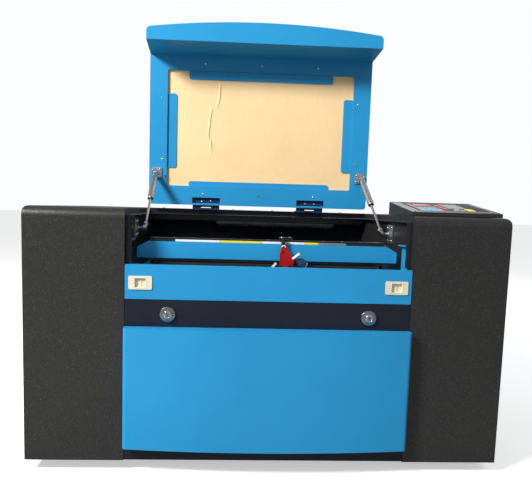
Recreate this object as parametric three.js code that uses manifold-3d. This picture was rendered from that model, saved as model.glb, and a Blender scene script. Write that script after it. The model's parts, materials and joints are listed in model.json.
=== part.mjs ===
// Desktop CO2 laser cutter: black steel cabinet, blue bowed lid and doors, gantry, bed and laser tube.
// Millimetres, +Z up, -Y towards the operator. Drawn with Y = 0 on the cabinet's front face, then
// centred, so the origin ends up on the floor under the middle of the machine.
import * as THREE from 'three';
import { mergeVertices } from 'three/addons/utils/BufferGeometryUtils.js';
import Module from 'manifold-3d';

const wasm = await Module();
wasm.setup();

// ---- driving dimensions -------------------------------------------------------------------
const WIDTH = 1000;             // over the two side housings
const DEPTH = 640;              // front face to rear panel
const FOOT_H = 24;              // rubber feet
const FOOT_X = 420;
const TOP = 550;                // housing tops above the floor
const BAY = 592.6;              // clear width between the housings
const SHEET = 2;                // cabinet sheet
const SKIN = 2;                 // lid, flap and door sheet
const GAP = 0.3;                // clearance between parts that touch
const EDGE_R = 20;              // bend along the housings' front top edge
const CORNER_R = 10;            // outer top corners
const HALL_Y = 457;             // front of the tube compartment, which spans the whole width

const FLAP = { bottom: 366.2, top: 437, depth: 14, half: 295.5 };
const DOOR = { bottom: 58, top: 310, half: 296, ends: 24, bow: 17, back: 0.8, r: 8 };
const BAND_Z = 336;             // quarter-turn locks
const LOCK_X = 208;
const LATCH = { x: 264, z: 400, y0: 3.4, y1: 6.8 };

const HINGE = { y: 414, z: TOP, x: 140, r: 4 };
const LID = {
  half: 292, under: 401, skin: 414, z0: 561, lip: 302, lipIn: 958, frameIn: 948.5,
  top: 987.5, bow: 19.3, winX: 245, winZ0: 612, winZ1: 909,
};
const STRUT = { x: 275, upper: [390, 643], lower: [170, 505] };
const SEAT_Z = 536.7;           // rim the closed lid lands on

const BED = { x: 253, y0: 50, y1: 385, z0: 335, z1: 362 };
const BEAM = { x: 279, y0: 60, y1: 100, z0: 446, z1: 481.5 };
const HEAD_X = 38;              // laser head's place along the beam
const TUBE = { y: 545, z: 455, x0: -235, x1: 465, r: 25 };
const FAN = { z: 265, r: 75, end: 672 };
const CENTRE_Y = (FAN.end - DOOR.ends - DOOR.bow) / 2;

// ---- solid modelling helpers --------------------------------------------------------------
function solid(geometry) {
  geometry.deleteAttribute('normal');
  geometry.deleteAttribute('uv');
  const g = mergeVertices(geometry, 1e-4);
  return new wasm.Manifold(new wasm.Mesh({
    numProp: 3,
    vertProperties: Float32Array.from(g.attributes.position.array),
    triVerts: Uint32Array.from(g.index.array),
  }));
}
const join = (...parts) => parts.flat(Infinity).reduce((a, b) => a.add(b));
const cut = (body, ...tools) => tools.flat(Infinity).reduce((a, b) => a.subtract(b), body);

function box(x0, x1, y0, y1, z0, z1) {
  const g = new THREE.BoxGeometry(x1 - x0, y1 - y0, z1 - z0);
  g.translate((x0 + x1) / 2, (y0 + y1) / 2, (z0 + z1) / 2);
  return solid(g);
}
// Box mirrored to one side: s = -1 left, +1 right; x runs outwards from the centre line.
function sideBox(s, x0, x1, ...rest) {
  return box(Math.min(s * x0, s * x1), Math.max(s * x0, s * x1), ...rest);
}

const AXES = {
  X: [[0, 1, 0], [0, 0, 1], [1, 0, 0]],   // profile (y, z)
  Y: [[0, 0, 1], [1, 0, 0], [0, 1, 0]],   // profile (z, x)
  Z: [[1, 0, 0], [0, 1, 0], [0, 0, 1]],   // profile (x, y)
};
function prism(axis, points, a, b) {
  const flip = axis === 'Y' ? points.map(([x, z]) => [z, x]) : points;
  const shape = new THREE.Shape(flip.map(([u, v]) => new THREE.Vector2(u, v)));
  const g = new THREE.ExtrudeGeometry(shape, { depth: b - a, bevelEnabled: false });
  const basis = new THREE.Matrix4().makeBasis(...AXES[axis].map((v) => new THREE.Vector3(...v)));
  g.translate(0, 0, a).applyMatrix4(basis);
  return solid(g);
}
function arc(cx, cy, r, from, to, n = 6) {
  return Array.from({ length: n + 1 }, (_, i) => {
    const t = THREE.MathUtils.degToRad(from + ((to - from) * i) / n);
    return [cx + r * Math.cos(t), cy + r * Math.sin(t)];
  });
}
function roundedRect(x0, x1, y0, y1, r, n = 4) {
  return [
    ...arc(x1 - r, y0 + r, r, -90, 0, n), ...arc(x1 - r, y1 - r, r, 0, 90, n),
    ...arc(x0 + r, y1 - r, r, 90, 180, n), ...arc(x0 + r, y0 + r, r, 180, 270, n),
  ];
}
// Cylinder of radius r between a and b along an axis; (p, q) are the other two coordinates.
function rod(axis, r, a, b, p, q, n = 20) {
  const g = new THREE.CylinderGeometry(r, r, b - a, n);
  if (axis === 'X') g.rotateZ(-Math.PI / 2).translate((a + b) / 2, p, q);
  if (axis === 'Y') g.translate(p, (a + b) / 2, q);
  if (axis === 'Z') g.rotateX(Math.PI / 2).translate(p, q, (a + b) / 2);
  return solid(g);
}
function sideRod(s, r, x0, x1, ...rest) {
  return rod('X', r, Math.min(s * x0, s * x1), Math.max(s * x0, s * x1), ...rest);
}
// Turned body about an axis; profile of [radius, station] pairs starting and ending on the axis.
function turned(axis, profile, p, q, n = 24) {
  const g = new THREE.LatheGeometry(profile.map(([r, s]) => new THREE.Vector2(r, s)), n);
  if (axis === 'X') g.rotateZ(-Math.PI / 2).translate(0, p, q);
  if (axis === 'Y') g.translate(p, 0, q);
  if (axis === 'Z') g.rotateX(Math.PI / 2).translate(p, q, 0);
  return solid(g);
}

const PAINT = {
  black: [0x2f2f31, 0.42, 0.3], band: [0x292b34, 0.4, 0.3], blue: [0x2f97d3, 0.38, 0.1],
  steel: [0xb9bcc0, 0.3, 0.95], dark: [0x1c1d20, 0.6, 0.2], alu: [0xa9adb2, 0.4, 0.9],
  rubber: [0x151515, 0.9, 0], cream: [0xe8e0c8, 0.5, 0], paper: [0xe6c79a, 0.8, 0],
  red: [0xc8222a, 0.4, 0.1], glass: [0xd8ecf0, 0.1, 0], grey: [0x8c9094, 0.5, 0.4],
  display: [0x101214, 0.3, 0], zinc: [0xc9ccce, 0.4, 0.85],
};
const machine = new THREE.Group();
machine.name = 'laser_cutter';
machine.position.y = -CENTRE_Y;
// What moves together sits in one group; the head rides on the gantry, the rest on the cabinet.
const GROUPS = {
  lid: /^(lid_|window_|hinge_lid)/, struts: /^strut_(tube|rod)/, flap: /^(flap|latch)_/, door: /^lower_door/,
  gantry: /^(gantry|x_|mirror_two)/, head: /^(head_|laser_nozzle)/, bed: /^(bed_|honeycomb)/, cabinet: /./,
};
for (const name of Object.keys(GROUPS)) {
  const group = new THREE.Group();
  group.name = name;
  machine.add(group);
}
machine.getObjectByName('gantry').add(machine.getObjectByName('head'));
function add(name, body, paint) {
  const mesh = body.getMesh();
  const g = new THREE.BufferGeometry();
  g.setAttribute('position', new THREE.Float32BufferAttribute(Array.from(mesh.vertProperties), 3));
  g.setIndex(Array.from(mesh.triVerts));
  g.computeVertexNormals();
  const [color, roughness, metalness] = PAINT[paint];
  const node = new THREE.Mesh(g, new THREE.MeshStandardMaterial({ color, roughness, metalness }));
  node.name = name;
  const group = Object.keys(GROUPS).find((key) => GROUPS[key].test(name));
  machine.getObjectByName(group).add(node);
}
const SIDES = [['left', -1], ['right', 1]];

// ---- cabinet ------------------------------------------------------------------------------
add('base_pan', cut(
  box(-497, 497, 4, DEPTH - 3.6, FOOT_H, FOOT_H + 20),
  box(-494.5, 494.5, 6.5, DEPTH - 6, FOOT_H + SHEET, FOOT_H + 21),
  [-1, 1].map((s) => sideBox(s, BAY / 2 - 1, BAY / 2 + 4, 2, DEPTH, FOOT_H + SHEET, FOOT_H + 21)),
), 'dark');

for (const [end, y] of [['front', 80], ['rear', 560]]) {
  for (const [side, s] of SIDES) {
    const foot = [[0, 0], [17, 0], [19, 3], [16, FOOT_H - GAP], [0, FOOT_H - GAP]];
    add(`foot_${end}_${side}`, turned('Z', foot, s * FOOT_X, y, 20), 'rubber');
  }
}

// Folded shell with a bent front edge and rounded outer corner, inset by t for its inner face.
function housingBlock(s, t) {
  const back = t ? DEPTH + 5 : DEPTH - 3.3;
  const low = t ? FOOT_H - 5 : FOOT_H;
  const side = prism('X', [
    [t, low], [back, low], [back, TOP - t], ...arc(EDGE_R, TOP - EDGE_R, EDGE_R - t, 90, 180, 8),
  ], -WIDTH / 2, WIDTH / 2);
  const outer = WIDTH / 2 - t;
  const inner = BAY / 2 + t;
  const front = [
    [inner, low], [outer, low], ...arc(outer - CORNER_R + t, TOP - CORNER_R, CORNER_R - t, 0, 90, 5),
    [inner, TOP - t],
  ];
  const face = prism('Y', s > 0 ? front : front.map(([x, z]) => [-x, z]), -1, DEPTH + 6);
  return side.intersect(face);
}
for (const [side, s] of SIDES) {
  add(`${side}_housing`, cut(
    housingBlock(s, 0), housingBlock(s, SHEET),
    sideBox(s, BAY / 2 - 1, BAY / 2 + 4, SHEET, DEPTH, FOOT_H - 1, FOOT_H + SHEET + GAP),
    sideBox(s, BAY / 2 - 1, BAY / 2 + 4, HALL_Y, DEPTH, 60, 530),
    sideBox(s, BAY / 2 - 1, BAY / 2 + 4, LATCH.y0 - 0.6, LATCH.y1 + 1, 391, 409),
  ), 'black');
}

add('front_panel', cut(
  join(
    box(-296, 296, 1, 1 + SHEET, FOOT_H + SHEET + GAP, 365.5),
    box(-296, 296, 1, 30, 363, 365.5),
    box(-268, 268, 1, 14, 78, 80.5),
  ),
  prism('Y', roundedRect(-262, 262, 84, 288, 12), -1, 5),
  [-1, 1].map((s) => rod('Y', 8.6, -1, 5, s * LOCK_X, BAND_Z, 24)),
  [-1, 1].map((s) => box(s * LOCK_X - 13, s * LOCK_X + 13, -1, 5, 295.5, 309)),
), 'band');

add('seat_frame', join(
  [-1, 1].map((s) => [
    sideBox(s, 284, 296, 18, 424, SEAT_Z - 2.3, SEAT_Z),
    sideBox(s, 293.6, 296, 18, 424, 529, SEAT_Z),
    sideBox(s, 285, 296, 18, 20.4, 440, SEAT_Z),
  ]),
  box(-296, 296, 386, 424, SEAT_Z - 2.3, SEAT_Z),
  box(-290, 290, 411, 413.4, 520, SEAT_Z),
), 'band');

add('rear_cover', join(
  box(-296, 296, 425, DEPTH - 3.3, TOP - SHEET, TOP),
  box(-296, 296, 425, 425 + SHEET, 533.5, TOP),
  box(-296, 296, 425, 446, 533.5, 533.5 + SHEET),
), 'black');

const louvres = (x0, x1, z0, count) => Array.from({ length: count }, (_, i) => (
  prism('Y', roundedRect(x0, x1, z0 + i * 14, z0 + i * 14 + 6, 2.9, 2), DEPTH - 8, DEPTH + 2)));
const INLET = { x0: 376, x1: 424, z0: 100, z1: 158 };
add('rear_panel', cut(
  prism('Y', [
    [-500, FOOT_H], [500, FOOT_H], ...arc(490, TOP - 10, 10, 0, 90, 5),
    ...arc(-490, TOP - 10, 10, 90, 180, 5),
  ], DEPTH - 3, DEPTH),
  rod('Y', FAN.r + 1, DEPTH - 9, DEPTH + 2, 0, FAN.z, 40),
  box(INLET.x0 + 2, INLET.x1 - 2, DEPTH - 9, DEPTH + 2, INLET.z0 + 2, INLET.z1 - 2),
  louvres(-450, -330, 380, 6), louvres(330, 450, 380, 6),
), 'black');

add('bay_back_wall', cut(
  box(-295.8, 295.8, 452, 452 + SHEET, FOOT_H + SHEET + GAP, 533),
  rod('Y', 13, 450, 457, -270, TUBE.z),
  prism('Y', roundedRect(-80, 80, 185, 335, 14), 450, 457),
), 'black');

add('led_bar', join(
  box(-111, 206, 396, 410.6, 512, 519.6), box(-108, 203, 398, 408.6, 508.6, 513),
), 'zinc');

// ---- hinges, lid and gas struts -----------------------------------------------------------
for (const [side, s] of SIDES) {
  const barrel = (x0, x1) => sideRod(s, HINGE.r, x0, x1, HINGE.y, HINGE.z);
  add(`hinge_lid_${side}`, join(
    barrel(104, 127), barrel(153, 176),
    sideBox(s, 104, 127, 409.2, 411.4, 549, 560), sideBox(s, 153, 176, 409.2, 411.4, 549, 560),
    sideBox(s, 104, 176, 409.2, 411.4, 556, 581),
  ), 'dark');
  add(`hinge_deck_${side}`, join(
    barrel(127.4, 152.6),
    sideBox(s, 127.4, 152.6, 414, 424, TOP + GAP, TOP + 2.4),
    sideBox(s, 104, 176, 421, 452, TOP + GAP, TOP + 2.4),
  ), 'dark');
}

// Lid in its open position: the underside faces the operator, the deep bowed lip is uppermost.
function lidEdge(x, t) {
  const u = x / LID.half;
  return LID.top - t + LID.bow * (1 - u * u);
}
function lidBlock(t) {
  const h = LID.half - t;
  const crown = Array.from({ length: 25 }, (_, i) => h - 6 - (i * (2 * h - 12)) / 24);
  const face = prism('Y', [
    ...arc(-h + 8, LID.z0 + t + 8, 8, 180, 270, 4), ...arc(h - 8, LID.z0 + t + 8, 8, 270, 360, 4),
    [h, lidEdge(h, t) - 6], ...crown.map((x) => [x, lidEdge(x, t)]), [-h, lidEdge(h, t) - 6],
  ], LID.lip - 5, LID.skin + 5);
  const side = prism('X', [
    [LID.under + t, LID.z0 + t], [LID.skin - t, LID.z0 + t], [LID.skin - t, 1100],
    [LID.lip + t, 1100], [LID.lip + t, LID.lipIn + t], [LID.under + t, LID.frameIn + t],
  ], -400, 400);
  return face.intersect(side);
}
const windowOutline = (grow) => roundedRect(
  -LID.winX - grow, LID.winX + grow, LID.winZ0 - grow, LID.winZ1 + grow, Math.max(4, 4 + grow));
const LUG_Y = [LID.under + 4.5, LID.under + 6.5];
const lug = (x0, x1, z0, z1) => prism('Y', roundedRect(x0, x1, z0, z1, 6), ...LUG_Y);
add('lid_shell', join(
  cut(
    lidBlock(0), lidBlock(SKIN),
    prism('Y', windowOutline(1), LID.under - 5, LID.under + 5),
    prism('Y', windowOutline(-6), LID.skin - 5, LID.skin + 5),
    [-1, 1].map((s) => [
      sideBox(s, 103, 177, 400, 404, 566, 581), sideBox(s, 103.5, 176.5, 408.8, 411.8, 560, 564),
    ]),
  ),
  cut(
    prism('Y', windowOutline(3), LID.under, LUG_Y[1]),
    prism('Y', windowOutline(1), LID.under - 1, LUG_Y[1] + 1),
  ),
  lug(-190, 190, LID.winZ1 - 21, LID.winZ1 + 2), lug(-188, 188, LID.winZ0 - 2, LID.winZ0 + 12),
  lug(-247, -221, 658, 850), lug(221, 247, 658, 850),
), 'blue');

add('window_pane', box(-256, 256, LUG_Y[1] + GAP, LID.skin - SKIN - GAP, 601, 920), 'paper');

const strutDir = Math.atan2(STRUT.lower[1] - STRUT.upper[1], STRUT.lower[0] - STRUT.upper[0]);
const strutLength = Math.hypot(STRUT.lower[0] - STRUT.upper[0], STRUT.lower[1] - STRUT.upper[1]);
// Turned along +X from the upper pivot, then swung into the strut's own direction.
function alongStrut(body, s) {
  const deg = THREE.MathUtils.radToDeg(strutDir);
  return body.rotate([0, 0, 90]).rotate([deg, 0, 0])
    .translate([s * STRUT.x, STRUT.upper[0], STRUT.upper[1]]);
}
for (const [side, s] of SIDES) {
  const bore = turned('X', [[0, 13], [3.5, 14], [3.5, 140], [0, 140]], 0, 0, 16);
  const barrelBody = turned('X', [
    [0, 3], [4, 3], [4, 10], [7.5, 12], [7.5, 130], [6, 132], [0, 132],
  ], 0, 0, 20);
  const eye = rod('Y', 7, -4, 4, 0, 0, 20);
  add(`strut_tube_${side}`, alongStrut(
    cut(join(barrelBody, eye), bore, rod('Y', 4.4, -6, 6, 0, 0, 16)), s), 'grey');
  const rodBody = turned('X', [
    [0, 124], [3, 125], [3, strutLength - 19], [4.2, strutLength - 19], [4.2, strutLength - 3],
    [0, strutLength - 3],
  ], 0, 0, 16);
  add(`strut_rod_${side}`, alongStrut(join(rodBody, rod('Y', 6.5, -4, 4, strutLength, 0, 20)), s), 'steel');

  const [uy, uz] = STRUT.upper;
  add(`lid_bracket_${side}`, join(
    sideBox(s, 258, 283.5, 398.4, 400.7, uz - 14, uz + 14),
    sideBox(s, 281.2, 283.5, uy - 7, 400.7, uz - 8, uz + 8),
    sideRod(s, 4, 269.5, 282, uy, uz, 16),
  ), 'zinc');
  const [ly, lz] = STRUT.lower;
  add(`strut_bracket_${side}`, join(
    sideBox(s, 293.6, 296, ly - 20, ly + 20, lz - 22, lz + 22),
    sideRod(s, 7, 289, 295, ly, lz, 16), sideRod(s, 4, 279.5, 295, ly, lz, 16),
  ), 'zinc');
}

// ---- front flap with its two slide latches ------------------------------------------------
function latchHole(s, dx, dz, y0, y1) {
  return sideBox(s, LATCH.x - dx, LATCH.x + dx, y0, y1, LATCH.z - dz, LATCH.z + dz);
}
add('flap_panel', cut(
  box(-FLAP.half, FLAP.half, 0, FLAP.depth, FLAP.bottom, FLAP.top),
  box(-FLAP.half + SKIN, FLAP.half - SKIN, SKIN, FLAP.depth + 1, FLAP.bottom + SKIN, FLAP.top - SKIN),
  [-1, 1].map((s) => latchHole(s, 21.8, 11.8, -1, 5)),
  [-1, 1].map((s) => sideBox(s, 290, 300, LATCH.y0 - 0.3, LATCH.y1 + 0.3, 392, 408)),
), 'blue');
for (const [side, s] of SIDES) {
  const x = s * LATCH.x;
  add(`latch_bezel_${side}`, cut(
    join(
      prism('Y', roundedRect(x - 24, x + 24, LATCH.z - 14, LATCH.z + 14, 3), -1.8, -GAP),
      latchHole(s, 21.5, 11.5, -1, LATCH.y0 - 0.4),
    ),
    latchHole(s, 10.8, 9, -3, 7),
  ), 'cream');
  add(`latch_slider_${side}`, join(
    sideBox(s, 246, 295.9, LATCH.y0, LATCH.y1, 394, 406), sideBox(s, 262, 264.4, 1.8, 4, 394.5, 405.5),
  ), 'cream');
}

// ---- lower door and its quarter-turn locks ------------------------------------------------
function doorBlock(t, z0, z1, back) {
  const h = DOOR.half - t;
  const r = DOOR.r - t;
  const face = (x) => -DOOR.ends + t - DOOR.bow * (1 - (x / DOOR.half) ** 2);
  const xs = Array.from({ length: 25 }, (_, i) => h - r - (i * 2 * (h - r)) / 24);
  return prism('Z', [
    [-h, back], ...arc(-h + r, face(h - r) + r, r, 180, 270, 4).slice(0, -1),
    ...xs.reverse().map((x) => [x, face(x)]),
    ...arc(h - r, face(h - r) + r, r, 270, 360, 4).slice(1), [h, back],
  ], z0, z1);
}
add('lower_door', join(
  cut(
    doorBlock(0, DOOR.bottom, DOOR.top, -DOOR.back),
    doorBlock(SKIN, DOOR.bottom + SKIN, DOOR.top - SKIN, 5),
  ),
  [-1, 1].map((s) => [
    box(s * LOCK_X - 11, s * LOCK_X + 11, -30, -28, 297.5, DOOR.top - 1),
    box(s * LOCK_X - 10, s * LOCK_X + 10, -29, 7, 297.5, 299.5),
    box(s * LOCK_X - 10, s * LOCK_X + 10, 5, 7, 297.5, 306),
  ]),
), 'blue');
for (const [side, s] of SIDES) {
  const x = s * LOCK_X;
  const slot = box(x - 6, x + 6, -9, -6.5, BAND_Z - 1.1, BAND_Z + 1.1);
  const armEnd = x - s * 38;
  add(`cam_lock_${side}`, cut(join(
    turned('Y', [
      [0, -7.5], [7, -7.5], [8, -6.5], [8, -4.5], [15.5, -3], [16.5, -1.5], [16.5, 0.5], [0, 0.5],
    ], x, BAND_Z, 28),
    rod('Y', 8, 0, 11, x, BAND_Z, 20),
    prism('Y', roundedRect(Math.min(x, armEnd), Math.max(x, armEnd), BAND_Z - 7, BAND_Z + 7, 6), 8.5, 11),
  ), slot), 'steel');
}

// ---- gantry and laser head ----------------------------------------------------------------
const beamFace = (t) => [
  [-BEAM.x, BEAM.z0 + t], [BEAM.x, BEAM.z0 + t], [BEAM.x, 469 - t], [256, BEAM.z1 - t],
  [-256, BEAM.z1 - t], [-BEAM.x, 469 - t],
];
add('gantry_beam', cut(
  prism('Y', beamFace(0), BEAM.y0, BEAM.y1),
  prism('Y', beamFace(SHEET).map(([x, z]) => [x * 1.05, z]), BEAM.y0 + SHEET, BEAM.y1 + 5),
), 'blue');
const RAIL = { y0: 64, y1: 78, z0: BEAM.z1 + GAP, z1: BEAM.z1 + 8.3 };
add('x_rail', cut(
  box(-252, 252, RAIL.y0, RAIL.y1, RAIL.z0, RAIL.z1),
  box(-300, 300, RAIL.y0 - 1, RAIL.y0 + 1.5, RAIL.z0 + 2.7, RAIL.z0 + 5.7),
  box(-300, 300, RAIL.y1 - 1.5, RAIL.y1 + 1, RAIL.z0 + 2.7, RAIL.z0 + 5.7),
), 'steel');
add('x_belt_guard', cut(
  join(
    box(-252, 252, 63, 79, 426, BEAM.z0 - GAP),
    [-1, 1].map((s) => sideBox(s, 250, 278, 63, 95, 420.5, 430)),
  ),
  box(-248, 248, 62, 76, 432, 440),
), 'dark');
add('mirror_two', join(
  box(-276, -250, BEAM.y1 + GAP, 104, 440, 474), box(-276, -250, 103, 108, 440, 446),
  prism('Z', [[-276, 103], [-272, 103], [-250, 125], [-250, 130], [-254, 130], [-276, 108]], 443, 470),
), 'dark');
add('x_motor', join(
  prism('Y', roundedRect(232, 274, 440, 482, 4, 2), BEAM.y1 + GAP, 138),
  rod('Y', 11, 137, 140, 253, 461),
), 'dark');

add('head_carriage', join(
  box(HEAD_X - 10.5, HEAD_X - 4.5, 48, 59.6, 440, RAIL.z1 + 6),
  box(HEAD_X - 10.5, HEAD_X - 4.5, 48, RAIL.y0 - 0.4, BEAM.z1 + 0.6, RAIL.z1 + 6),
  box(HEAD_X - 14, HEAD_X + 14, RAIL.y0 - 0.4, RAIL.y1 + 8, RAIL.z1 + 0.4, RAIL.z1 + 6),
  box(HEAD_X - 14, HEAD_X + 14, RAIL.y1 + 0.4, RAIL.y1 + 8, BEAM.z1 + 0.6, RAIL.z1 + 6),
  box(HEAD_X - 10.5, HEAD_X + 10, 48, 59.6, 440, 452),
), 'dark');
const redPlate = [
  [-15, 437], [-8, 437], [-8, 424], [5, 424], [5, 437], [12, 437], [16, 442], [16, 452], [1, 473],
  [-4, 477.5], [-11, 477.5], [-15, 462],
].map(([x, z]) => [HEAD_X + x, z]);
add('head_plate', cut(prism('Y', redPlate, 43.7, 47.7), rod('Y', 2.2, 40, 50, HEAD_X - 8, 466, 12)), 'red');
add('laser_nozzle', join(
  turned('Z', [
    [0, 374], [3, 374], [9, 394], [9, 400], [10.5, 400], [10.5, 408], [9, 408], [9, 432], [0, 432],
  ], HEAD_X + 20, 31, 24),
  rod('Y', 9.5, 22, 43, HEAD_X + 29, 445, 24), box(HEAD_X + 8, HEAD_X + 34, 24, 43.4, 426, 438),
), 'alu');

for (const [side, s] of SIDES) {
  add(`y_rail_${side}`, cut(join(
    sideBox(s, 262, 278, 25, 445, 408, 420), sideBox(s, 276, 292.5, 25, 445, 408, 411),
    sideBox(s, 290, 292.5, 25, 62, 408, 487), sideBox(s, 281.5, 292.5, 25, 62, 484.5, 487),
  ), sideBox(s, 260, 265, 20, 450, 412, 416)), 'blue');
}
add('y_drive_shaft', join(
  rod('X', 4, -256, 256, 432, 396, 16),
  [-1, 1].map((s) => rod('X', 9, s * 250 - 5, s * 250 + 5, 432, 396, 24)),
  rod('X', 12, 196, 206, 432, 396, 28),
), 'steel');
add('y_motor', join(
  prism('X', roundedRect(404, 446, 338, 380, 4, 2), 208, 246), rod('X', 5, 194, 209, 425, 359, 16),
  box(208, 246, 445, 451.6, 344, 372),
), 'dark');

// ---- lift bed -----------------------------------------------------------------------------
const POSTS = [-1, 1].flatMap((s) => [62, 372].map((y) => [s * 266, y, s]));
add('bed_frame', cut(
  join(
    cut(
      box(-BED.x, BED.x, BED.y0, BED.y1, BED.z0, BED.z1),
      box(-BED.x + 3, BED.x - 3, BED.y0 + 3, BED.y1 - 3, BED.z0 - 1, BED.z1 + 1),
    ),
    cut(
      box(-BED.x + 1, BED.x - 1, BED.y0 + 1, BED.y1 - 1, 344, 347),
      box(-BED.x + 14, BED.x - 14, BED.y0 + 14, BED.y1 - 14, 340, 350),
    ),
    POSTS.map(([, y, s]) => sideBox(s, BED.x - 1, 276, y - 10, y + 10, BED.z0, BED.z0 + 14)),
  ),
  POSTS.map(([x, y]) => rod('Z', 5.6, BED.z0 - 2, BED.z0 + 20, x, y, 16)),
), 'dark');
const CELLS = { nx: 14, ny: 9 };
const combW = 2 * (BED.x - 3.4);
const combD = BED.y1 - BED.y0 - 6.8;
const cell = [(combW - 16) / CELLS.nx, (combD - 16) / CELLS.ny];
const cellTool = Array.from({ length: CELLS.nx * CELLS.ny }, (_, i) => {
  const x = -combW / 2 + 8 + (i % CELLS.nx) * cell[0];
  const y = BED.y0 + 11.4 + Math.floor(i / CELLS.nx) * cell[1];
  return box(x + 1.5, x + cell[0] - 1.5, y + 1.5, y + cell[1] - 1.5, 340, 370);
});
add('honeycomb', cut(
  box(-combW / 2, combW / 2, BED.y0 + 3.4, BED.y1 - 3.4, 347.3, BED.z1), cellTool), 'alu');
add('lift_base', join(
  cut(box(-278, 278, 50, 384, 27, 35), box(-254, 254, 74, 360, 20, 40)),
  POSTS.map(([x, y]) => rod('Z', 5, 30, 346, x, y, 16)),
), 'zinc');

// ---- laser tube, optics and exhaust -------------------------------------------------------
add('laser_tube', turned('X', [
  [0, TUBE.x0], [11, TUBE.x0], [11, -222], [TUBE.r - 5, -214], [TUBE.r, -206],
  [TUBE.r, 436], [TUBE.r - 5, 444],
  [11, 452], [11, TUBE.x1], [0, TUBE.x1],
], TUBE.y, TUBE.z, 32), 'glass');
add('tube_shelf', cut(
  join(
    box(-420, 490, 500, 590, 392, 394.5),
    box(-420, -417.5, 500, 590, FOOT_H + SHEET + GAP, 394.5),
    box(487.5, 490, 500, 590, FOOT_H + SHEET + GAP, 394.5),
    [-130, 350].map((x) => box(x - 16, x + 16, 512, 578, 394, 462)),
  ),
  rod('X', TUBE.r + 0.4, -300, 480, TUBE.y, TUBE.z, 32),
), 'zinc');
add('mirror_one', join(
  box(-290, -250, 525, 565, 394.8, 400), box(-276, -264, 539, 551, 399, 440),
  prism('Z', [[-290, 535], [-287, 532], [-257, 562], [-260, 565]], 438, 472),
), 'dark');
add('fan_housing', join(
  cut(
    rod('Y', FAN.r, 600, FAN.end, 0, FAN.z, 40),
    rod('Y', FAN.r - 4, 590, FAN.end + 5, 0, FAN.z, 40),
  ),
  cut(
    prism('Y', roundedRect(-90, 90, FAN.z - 90, FAN.z + 90, 12), DEPTH - 12, DEPTH - 3.6),
    rod('Y', FAN.r - 2, 600, 660, 0, FAN.z, 40),
  ),
  rod('Y', 24, 604, 622, 0, FAN.z, 28),
  [0, 120, 240].map((deg) => (
    box(-5, 5, 605, 610, 20, FAN.r - 2).rotate([0, deg, 0]).translate([0, 0, FAN.z]))),
), 'dark');
const blade = (deg) => box(17, 67, -1.2, 1.2, -14, 14).rotate([-32, 0, 0]).rotate([0, deg, 0]);
add('fan_rotor', join(
  rod('Y', 20, 624, 648, 0, FAN.z, 28),
  [0, 72, 144, 216, 288].map((deg) => blade(deg).translate([0, 638, FAN.z])),
), 'dark');

// ---- electrics ----------------------------------------------------------------------------
add('laser_supply', join(
  box(340, 480, 120, 330, 27, 122), box(350, 470, 108, 121, 40, 62),
), 'grey');
add('controller', join(
  box(299.2, 302, 120, 300, 190, 330), box(301, 330, 130, 290, 200, 320),
  [210, 240, 270].map((y) => box(329, 338, y, y + 18, 208, 222)),
), 'alu');
const inletPlate = roundedRect(INLET.x0 - 6, INLET.x1 + 6, INLET.z0 - 6, INLET.z1 + 6, 4);
const inletSocket = roundedRect(INLET.x0 + 9, INLET.x1 - 9, INLET.z0 + 6, INLET.z0 + 28, 3, 2);
add('power_inlet', cut(
  join(
    prism('Y', inletPlate, DEPTH + GAP, DEPTH + 3),
    box(INLET.x0 + 2.4, INLET.x1 - 2.4, DEPTH - 26, DEPTH + 1, INLET.z0 + 2.4, INLET.z1 - 2.4),
  ),
  prism('Y', inletSocket, DEPTH - 14, DEPTH + 5),
), 'dark');

// ---- control panel ------------------------------------------------------------------------
const PANEL = { x0: 297, x1: 490, y0: 24, y1: 198, z: TOP + GAP, front: 558.7, rear: 581.3 };
const slope = (PANEL.rear - PANEL.front) / (PANEL.y1 - PANEL.y0);
const panelZ = (y) => PANEL.front + slope * (y - PANEL.y0);
const wedge = (y0, y1, z, rise, x0, x1) => prism('X', [
  [y0, z], [y1, z], [y1, panelZ(y1) + rise], [y0, panelZ(y0) + rise]], x0, x1);
add('control_housing', cut(
  wedge(PANEL.y0, PANEL.y1, PANEL.z, 0, PANEL.x0, PANEL.x1),
  wedge(PANEL.y0 + 3, PANEL.y1 - 3, PANEL.z - 5, -3, PANEL.x0 + 3, PANEL.x1 - 3),
  wedge(38, 186, PANEL.z + 2, 5, PANEL.x0 + 14, PANEL.x1 - 14),
), 'black');
add('control_face', prism('X', [
  [38.4, panelZ(38.4) - 3], [185.6, panelZ(185.6) - 3], [185.6, panelZ(185.6) + 1], [38.4, panelZ(38.4) + 1],
], PANEL.x0 + 14.4, PANEL.x1 - 14.4), 'display');

export default machine;
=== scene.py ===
"""Desktop laser cutter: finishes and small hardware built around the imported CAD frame. Metres, +Z up."""
import json
import math

import bmesh
import bpy
from mathutils import Matrix, Vector


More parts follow.
